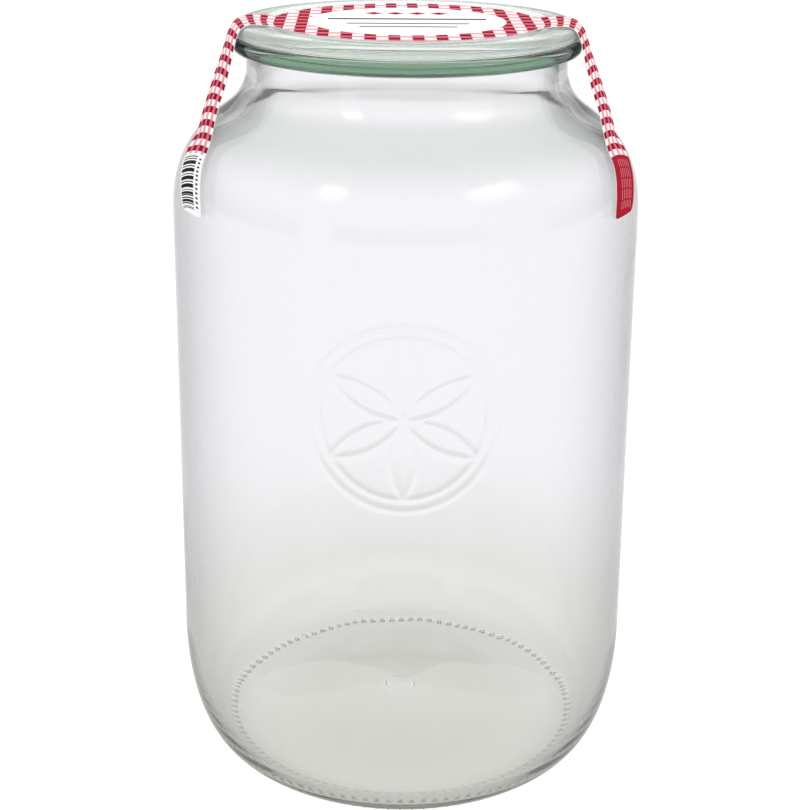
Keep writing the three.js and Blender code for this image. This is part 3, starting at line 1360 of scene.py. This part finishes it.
@dataclass(frozen=True)
class SoftCard:
    """A glowing card with faded edges: where it stands and aims, in metres, its size and its brightness.

    The crown is how many times brighter the card is at its top than along its length.
    """

    name: str
    place: Place
    aim: Place
    size: Point
    radiance: float
    crown: float
    crown_reach: Point = (0.2, 0.4)
    fade: Point = (0.3, 0.12)

    def build(self) -> None:
        """Adds the card to the stage, shown in reflections but not straight to the camera."""
        Bench.clear()
        bpy.ops.mesh.primitive_plane_add(size=1)
        card = Bench.take(self.name)
        card.data.transform(Matrix.Diagonal((*self.size, 1.0, 1.0)))
        card.location = self.place
        card.rotation_euler = (Vector(self.aim) - Vector(self.place)).to_track_quat("-Z", "Y").to_euler()
        card.visible_camera = False
        card.visible_shadow = False
        card.data.materials.append(self._glow())

    def _glow(self) -> Material:
        """The card's light, which fades out towards its edges.

        Returns:
            The material.
        """
        made, pen = NodePen.start(self.name)
        ways = pen.split(pen.place())
        shown = 1.0
        for name, size, fade in zip("XY", self.size, self.fade):
            inwards = pen.math("SUBTRACT", size / 2, pen.math("ABSOLUTE", ways[name]))
            shown = pen.both(shown, pen.ramp(inwards, 0.0, fade * size))
        top = pen.ramp(ways["Y"], *(share * self.size[1] for share in self.crown_reach))
        glow = pen.node("ShaderNodeEmission")
        strength = pen.math("MULTIPLY_ADD", top, (self.crown - 1) * self.radiance, self.radiance)
        pen.link(strength, glow.inputs["Strength"])
        blend = pen.node("ShaderNodeMixShader")
        pen.link(shown, blend.inputs["Fac"])
        pen.link(pen.node("ShaderNodeBsdfTransparent").outputs["BSDF"], blend.inputs[1])
        pen.link(glow.outputs["Emission"], blend.inputs[2])
        pen.surface(blend.outputs["Shader"])
        return made


@dataclass(frozen=True)
class FloorLight:
    """The light that the glass finds on the floor: shaded at the jar's foot and bright away from it.

    Distances are in metres from the jar's axis.
    """

    foot: Colour = (0.57, 0.585, 0.515)
    near: Colour = (0.86, 0.85, 0.825)
    away: Colour = (1.01, 1.01, 1.045)
    foot_edge: Point = (0.025, 0.11)
    near_edge: Point = (0.10, 0.27)

    def material(self) -> Material:
        """The light as an emission that depends on the distance from the axis.

        Returns:
            The material.
        """
        made, pen = NodePen.start("floor_light")
        distance = pen.vector("LENGTH", pen.place())
        tone = pen.mix(pen.ramp(distance, *self.foot_edge), self.foot, self.near)
        tone = pen.mix(pen.ramp(distance, *self.near_edge), tone, self.away)
        glow = pen.node("ShaderNodeEmission")
        pen.link(tone, glow.inputs["Color"])
        pen.surface(glow.outputs["Emission"])
        return made


@dataclass
class Studio:
    """The pale floor, the soft light and the camera."""

    floor_light: FloorLight = FloorLight()
    floor_radius: float = 14.0
    floor_corners: int = 96
    floor_tone: float = 0.30
    floor_glow: float = 0.84
    floor_roughness: float = 0.9
    floor_gloss: float = 0.1
    horizon: float = 0.55
    zenith: float = 1.1
    sky_edge: Point = (0.05, 0.4)
    camera_place: Place = (0.21, -518.6, 317.23)
    camera_pitch: float = 19.13
    camera_roll: float = 0.55
    focal_share: float = 1639.12 / 810
    shift: float = -0.07
    sensor: float = 36.0
    nearest: float = 0.01
    lamp_place: Place = (0.0, 2.0, 2.0)
    lamp_size: Point = (3.0, 2.0)
    lamp_radiance: float = 0.6
    bounces: int = 32

    def build(self) -> None:
        """Sets up floor, world, lamp, cards and camera."""
        self.lay_floor()
        self.fill_sky()
        self.hang_lamp()
        for card in self.cards():
            card.build()
        self.set_camera()
        scene = bpy.context.scene
        scene.view_settings.view_transform = "Standard"
        scene.cycles.max_bounces = self.bounces
        scene.cycles.transmission_bounces = self.bounces
        scene.cycles.glossy_bounces = self.bounces

    def cards(self) -> list[SoftCard]:
        """A slim card close to the jar on each side of the camera.

        Returns:
            The left card and the right one.
        """
        return [
            SoftCard("left_card", (-0.125, -0.170, 0.20), (-0.028, -0.070, 0.20), (0.07, 0.42), 1.1, 3.0),
            SoftCard("right_card", (0.150, -0.150, 0.20), (0.032, -0.066, 0.20), (0.15, 0.42), 1.0, 3.0),
        ]

    def hang_lamp(self) -> None:
        """A weak, wide lamp high behind the jar, which rounds the paper and the rim."""
        data = bpy.data.lights.new("back_lamp", "AREA")
        data.shape = "RECTANGLE"
        data.size, data.size_y = self.lamp_size
        data.energy = self.lamp_radiance * math.pi * self.lamp_size[0] * self.lamp_size[1]
        lamp = bpy.data.objects.new("back_lamp", data)
        lamp.location = self.lamp_place
        lamp.rotation_euler = (-Vector(self.lamp_place)).to_track_quat("-Z", "Y").to_euler()
        lamp.visible_camera = False
        bpy.context.scene.collection.objects.link(lamp)

    def lay_floor(self) -> None:
        """A plain pale floor for the camera, and the pool of light in its place for the glass."""
        seen = self._disc("studio_floor", self._pale())
        seen.visible_diffuse = False
        seen.visible_glossy = False
        seen.visible_transmission = False
        seen.visible_shadow = False
        lit = self._disc("floor_light", self.floor_light.material())
        lit.visible_camera = False

    def _disc(self, name: str, finish: Material) -> Piece:
        """Adds a wide disc on the ground to the stage.

        Args:
            name: The disc's name.
            finish: Its material.

        Returns:
            The disc.
        """
        Bench.clear()
        corners, radius = self.floor_corners, self.floor_radius
        bpy.ops.mesh.primitive_circle_add(vertices=corners, radius=radius, fill_type="NGON")
        disc = Bench.take(name)
        disc.data.materials.append(finish)
        return disc

    def _pale(self) -> Material:
        """The floor's finish: matt and pale, lit through from below as a light table is.

        Returns:
            The material.
        """
        made, pen = NodePen.start("pale_floor")
        pen.coat(
            {
                "Base Color": rgba((self.floor_tone,) * 3),
                "Roughness": self.floor_roughness,
                "Specular IOR Level": self.floor_gloss,
                "Emission Color": rgba((self.floor_glow,) * 3),
                "Emission Strength": 1.0,
            }
        )
        return made

    def fill_sky(self) -> None:
        """Soft light from above, over a dimmer horizon."""
        world = bpy.data.worlds.new("studio_light")
        world.use_nodes = True
        pen = NodePen(world.node_tree)
        climb = pen.ramp(pen.split(pen.place())["Z"], *self.sky_edge)
        glow = world.node_tree.nodes["Background"]
        pen.link(pen.mix(climb, (self.horizon,) * 3, (self.zenith,) * 3), glow.inputs["Color"])
        bpy.context.scene.world = world

    def set_camera(self) -> None:
        """The camera at the photo's viewing angle."""
        data = bpy.data.cameras.new("camera")
        data.sensor_width = self.sensor
        data.lens = self.sensor * self.focal_share
        data.shift_y = self.shift
        data.clip_start = self.nearest
        pitch, roll = math.radians(self.camera_pitch), math.radians(self.camera_roll)
        ahead = Vector((0, math.cos(pitch), -math.sin(pitch)))
        right = Vector((1, 0, 0))
        up = right.cross(ahead)
        tilted_right = right * math.cos(roll) + up * math.sin(roll)
        tilted_up = up * math.cos(roll) - right * math.sin(roll)
        axes = Matrix((tilted_right, tilted_up, -ahead)).transposed()
        camera = bpy.data.objects.new("camera", data)
        camera.matrix_world = Matrix.Translation(Vector(self.camera_place) * MM) @ axes.to_4x4()
        bpy.context.scene.collection.objects.link(camera)
        bpy.context.scene.camera = camera


def hand_over(piece: Piece, node: str) -> None:
    """Puts a finished piece in the place of its CAD node and reports it.

    Args:
        piece: The dressed mesh.
        node: The CAD node that it stands for.
    """
    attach(piece, BODY)
    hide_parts(node)
    piece.data.calc_loop_triangles()
    log.info("%s: %d triangles", piece.name, len(piece.data.loop_triangles))


def main() -> None:
    """Builds the studio and the object's pieces, in order."""
    logging.basicConfig(level=logging.INFO)
    Studio().build()
    jar_glass = GlassFinish(
        "jar_clear_glass",
        loss=(10.5, 9.8, 11.0),
        # Painted shade on the wall's slanted edges.
        edge_painted_shade=(0.08, 0.082, 0.075),
        # Painted shade on the foot's ribs.
        rib_painted_shade=(0.07, 0.08, 0.065),
        # Painted shade on the shoulder.
        shoulder_painted_shade=(0.82, 0.835, 0.81),
        rim_tint=(0.22, 0.38, 0.25),
    )
    lid_glass = GlassFinish("lid_clear_glass", loss=(2.4, 1.9, 2.5))
    body = JarBody(jar_glass)
    lid = Lid(lid_glass, seat=body.height + LID_GAP)
    label = Label(PaperFinish(), body, lid)
    hand_over(body.build(), "jar")
    hand_over(lid.build(), "lid")
    hand_over(label.build(), "label")


if __name__ == "__main__":
    main()
